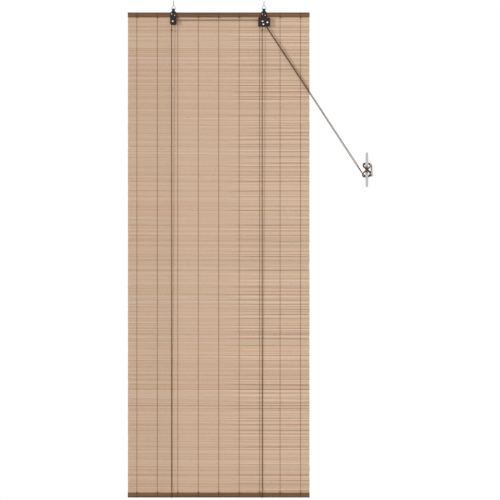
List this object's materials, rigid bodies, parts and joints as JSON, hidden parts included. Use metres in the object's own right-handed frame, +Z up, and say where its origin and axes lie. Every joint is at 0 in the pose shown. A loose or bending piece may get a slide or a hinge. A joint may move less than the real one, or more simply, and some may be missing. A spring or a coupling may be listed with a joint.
{
  "type": "bamboo roll up blind",
  "caption": "Woven bamboo roll-up blind hung from screw hooks, with wooden rails, a pulley bracket, a cord lock, lift cords and a wall cleat.",
  "frame": {"origin": "midway between the two hook screws, on the ceiling face that their shoulders touch", "axes": "+Z up along the hook screws, +X to the right seen from the room, +Y towards the wall"},
  "size_m": [1.076, 0.0625, 2.2054],
  "materials": {
    "plated_steel": "bright plating",
    "black_steel": "satin black paint",
    "black_plastic": "matte",
    "stained_wood": "stained, satin varnish",
    "bamboo": "bare split bamboo",
    "thread": "twisted cotton",
    "cord": "braided",
    "cleat_plastic": "satin moulded plastic"
  },
  "bodies": {
    "fixings": {"left_hook": "plated_steel", "right_hook": "plated_steel", "left_ring": "plated_steel", "right_ring": "plated_steel", "cleat": "cleat_plastic", "cleat_screws": "plated_steel", "draw_cord": "cord"},
    "blind": {"left_bracket_plate": "black_steel", "left_pulley_cover": "black_steel", "left_pulley_rivet": "plated_steel", "left_bracket_nails": "plated_steel", "right_bracket_plate": "black_steel", "lock_cover": "black_steel", "upper_pulley_rivet": "plated_steel", "lower_pulley_rivet": "plated_steel", "pawl_rivet": "plated_steel", "right_bracket_nails": "plated_steel", "head_rail": "stained_wood", "bamboo_mat": "bamboo", "warp_threads": "thread", "cord_staples": "plated_steel", "left_lift_cord": "cord", "right_lift_cord": "cord", "cross_cord": "cord", "lock_cord": "cord"},
    "bottom_rail": {"bottom_rail": "stained_wood"},
    "left_pulley": {"left_pulley": "black_plastic"},
    "upper_lock_pulley": {"upper_lock_pulley": "black_plastic"},
    "lower_lock_pulley": {"lower_lock_pulley": "black_plastic"},
    "lock_pawl": {"lock_pawl": "black_steel"}
  },
  "joints": [
    {"name": "blind_swing", "type": "hinge", "parent": "fixings", "child": "blind", "pos_m": [0, 0, -0.03113], "axis": [-1, 0, 0], "range_deg": [-10, 30], "deforming": ["draw_cord"]},
    {"name": "bottom_rail_lift", "type": "slide", "parent": "blind", "child": "bottom_rail", "axis": [0, 0, 1], "range_m": [0, 1.96], "deforming": ["bamboo_mat", "warp_threads", "left_lift_cord", "right_lift_cord"]},
    {"name": "left_pulley_spin", "type": "hinge", "parent": "blind", "child": "left_pulley", "pos_m": [-0.2014, -0.0104, -0.08613], "axis": [0, 1, 0], "continuous": true},
    {"name": "upper_pulley_spin", "type": "hinge", "parent": "blind", "child": "upper_lock_pulley", "pos_m": [0.1936, -0.0104, -0.08613], "axis": [0, 1, 0], "continuous": true},
    {"name": "lower_pulley_spin", "type": "hinge", "parent": "blind", "child": "lower_lock_pulley", "pos_m": [0.197, -0.0104, -0.09953], "axis": [0, 1, 0], "continuous": true},
    {"name": "lock_pawl_turn", "type": "hinge", "parent": "blind", "child": "lock_pawl", "pos_m": [0.2143, -0.0104, -0.09093], "axis": [0, 1, 0], "range_deg": [-8, 25]}
  ],
  "couplings": [
    {"joint": "left_pulley_spin", "follows": "bottom_rail_lift", "rad_per_m": 357.14},
    {"joint": "upper_pulley_spin", "follows": "bottom_rail_lift", "rad_per_m": 357.14},
    {"joint": "lower_pulley_spin", "follows": "bottom_rail_lift", "rad_per_m": 357.14}
  ]
}
